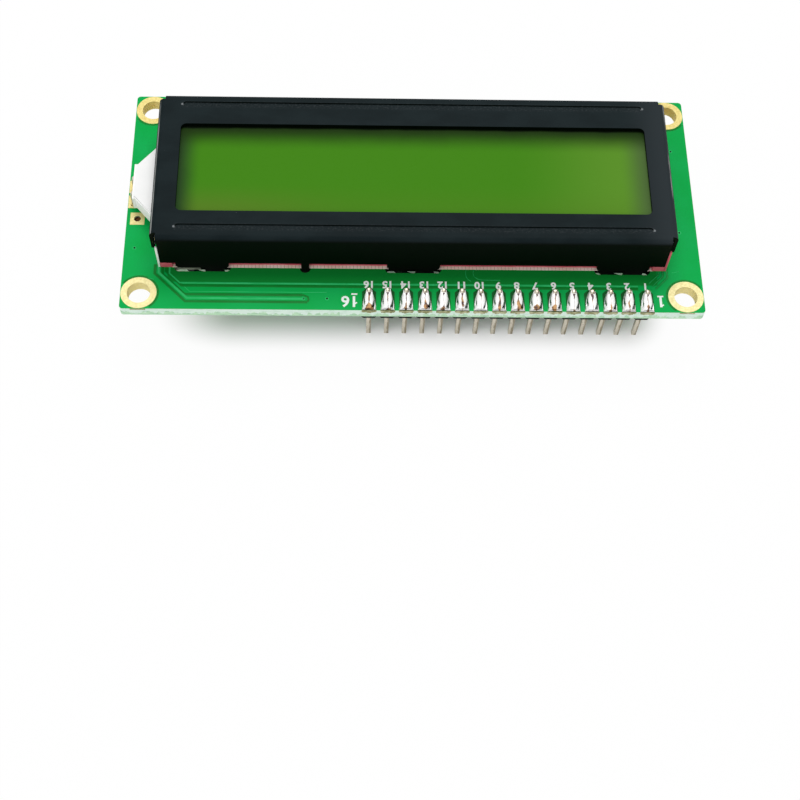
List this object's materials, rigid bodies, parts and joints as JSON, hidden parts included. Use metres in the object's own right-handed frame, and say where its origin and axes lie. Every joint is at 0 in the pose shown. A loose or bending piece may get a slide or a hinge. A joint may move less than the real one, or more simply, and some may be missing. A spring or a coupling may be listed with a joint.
{
  "type": "character lcd module",
  "caption": "Two-line character display module on a green board: black bezel around a yellow-green screen, pin header soldered along the near edge.",
  "frame": {"origin": "centre of the four mounting holes, on the front face of the circuit board", "axes": "+X along the board towards pin 1, -Y towards the edge with the pin header, +Z out of the display"},
  "size_m": [0.08, 0.036, 0.0173],
  "materials": {
    "board_mask": "gloss",
    "gold_land": "satin",
    "bezel_paint": "satin",
    "polarizer_film": "gloss",
    "cell_glass": "clear",
    "elastomer": "satin",
    "white_plastic": "satin",
    "white_film": "matte",
    "clear_acrylic": "clear",
    "lamp_resin": "gloss",
    "solder": "satin",
    "tinned_pin": "satin",
    "black_insulator": "satin",
    "black_resin": "satin",
    "chip_ceramic": "satin"
  },
  "bodies": {
    "root": {"backlight_frame": "white_plastic", "backlight_lamp": "lamp_resin", "bezel": "bezel_paint", "chip_resistor_1": "chip_ceramic", "chip_resistor_2": "chip_ceramic", "chip_resistor_3": "chip_ceramic", "chip_resistor_4": "chip_ceramic", "chip_resistor_5": "chip_ceramic", "chip_resistor_6": "chip_ceramic", "chip_resistor_7": "chip_ceramic", "chip_resistor_8": "chip_ceramic", "chip_solder_joints": "solder", "circuit_board": "board_mask", "component_lands": "gold_land", "controller_chip_dome": "black_resin", "diffuser_film": "white_film", "driver_chip_dome": "black_resin", "elastomer_strip_far_side": "elastomer", "elastomer_strip_header_side": "elastomer", "front_glass": "cell_glass", "front_polarizer": "polarizer_film", "header_insulator": "black_insulator", "header_lands": "gold_land", "header_pin_01": "tinned_pin", "header_pin_02": "tinned_pin", "header_pin_03": "tinned_pin", "header_pin_04": "tinned_pin", "header_pin_05": "tinned_pin", "header_pin_06": "tinned_pin", "header_pin_07": "tinned_pin", "header_pin_08": "tinned_pin", "header_pin_09": "tinned_pin", "header_pin_10": "tinned_pin", "header_pin_11": "tinned_pin", "header_pin_12": "tinned_pin", "header_pin_13": "tinned_pin", "header_pin_14": "tinned_pin", "header_pin_15": "tinned_pin", "header_pin_16": "tinned_pin", "header_solder_joints": "solder", "jumper_solder_bridge": "solder", "lamp_terminal_1": "tinned_pin", "lamp_terminal_2": "tinned_pin", "light_guide": "clear_acrylic", "mounting_hole_platings": "gold_land", "rear_glass": "cell_glass", "rear_polarizer": "polarizer_film", "reflector_film": "white_film", "side_pads": "gold_land", "tab_lands": "gold_land", "terminal_solder_joints": "solder"}
  },
  "joints": []
}
